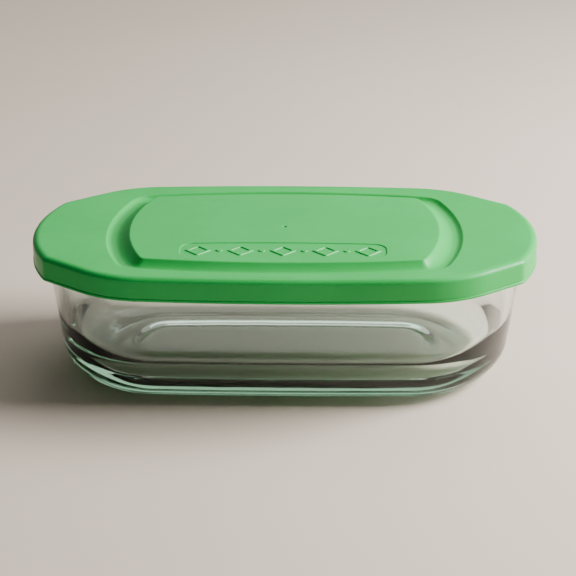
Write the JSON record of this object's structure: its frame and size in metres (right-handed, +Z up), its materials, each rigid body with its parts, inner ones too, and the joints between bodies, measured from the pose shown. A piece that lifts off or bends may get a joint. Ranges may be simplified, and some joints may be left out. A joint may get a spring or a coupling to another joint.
{
  "type": "glass storage container",
  "caption": "Oblong clear glass food storage dish with end handles and a soft green lid that clips over the rim and has a raised middle panel.",
  "frame": {"origin": "middle of the base, on the surface that the dish stands on", "axes": "+X along the length, towards the right-hand handle; +Y to the back; +Z up, out of the dish's mouth"},
  "size_m": [0.281, 0.1476, 0.0789],
  "materials": {
    "glass": "fire-polished clear pressed glass with a faint green tint",
    "lid_plastic": "fine matte moulded polyethylene"
  },
  "bodies": {
    "dish": {"glass_dish": "glass"},
    "lid": {"lid": "lid_plastic"}
  },
  "joints": [
    {"name": "lid_lift", "type": "slide", "parent": "dish", "child": "lid", "axis": [0, 0, 1], "range_m": [0, 0.1]}
  ]
}
